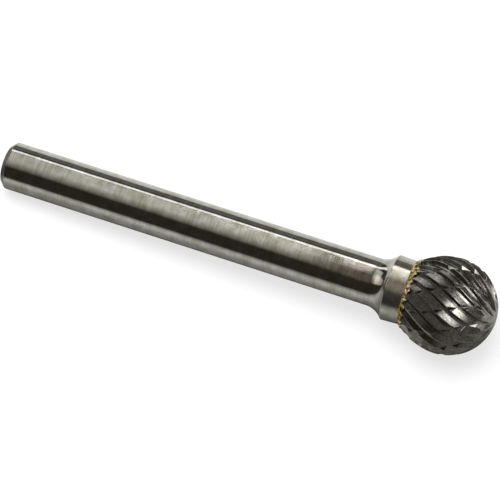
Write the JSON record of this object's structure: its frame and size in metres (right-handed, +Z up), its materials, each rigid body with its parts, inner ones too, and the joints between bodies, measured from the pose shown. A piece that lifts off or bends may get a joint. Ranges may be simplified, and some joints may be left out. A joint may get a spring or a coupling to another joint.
{
  "type": "carbide rotary burr",
  "caption": "Ball-headed rotary burr: a double-cut carbide head brazed to a straight ground steel shank, for grinding and deburring in a die grinder.",
  "frame": {"origin": "on the floor, under the middle of the burr's box as it lies at rest", "axes": "+X along the burr towards its nose, +Z up; the burr's own axis rises 3 degrees towards the nose"},
  "size_m": [0.0642, 0.012, 0.0119],
  "materials": {
    "ground_steel": "cylindrically ground tool steel, with fine marks round the shank",
    "braze_alloy": "silver-brass filler as it froze, with darker and coppery stains",
    "tungsten_carbide": "sintered tungsten carbide, ground all over its teeth"
  },
  "bodies": {
    "root": {"shank": "ground_steel", "braze_joint": "braze_alloy", "carbide_head": "tungsten_carbide"}
  },
  "joints": []
}
